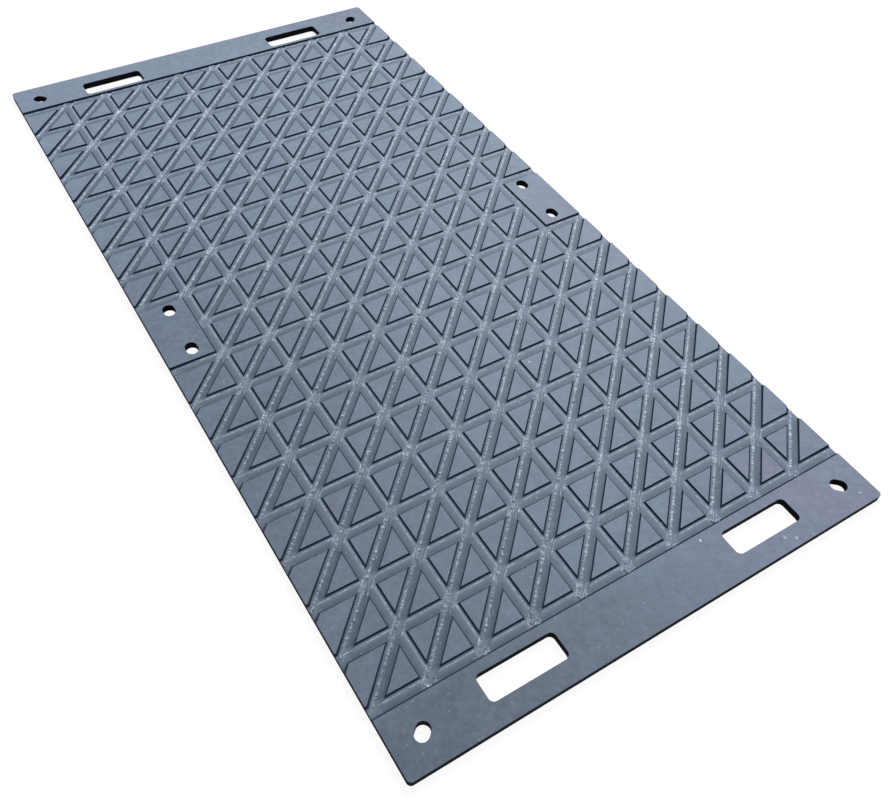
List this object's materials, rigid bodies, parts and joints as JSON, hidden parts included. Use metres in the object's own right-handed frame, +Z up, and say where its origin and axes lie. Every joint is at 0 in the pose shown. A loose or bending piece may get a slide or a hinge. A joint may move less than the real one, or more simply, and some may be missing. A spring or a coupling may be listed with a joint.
{
  "type": "ground protection mat",
  "caption": "Flat rectangular ground protection mat with a grooved tread, hand holes by both ends and fixing slots in the corners and side tabs.",
  "frame": {"origin": "centre of the mat on its underside", "axes": "+X across the mat, +Y along its length, +Z up through its thickness"},
  "size_m": [1.22, 2.44, 0.019],
  "materials": {
    "sheet_plastic": "satin blue-grey, with milled grooves"
  },
  "bodies": {
    "root": {"mat_sheet": "sheet_plastic"}
  },
  "joints": []
}
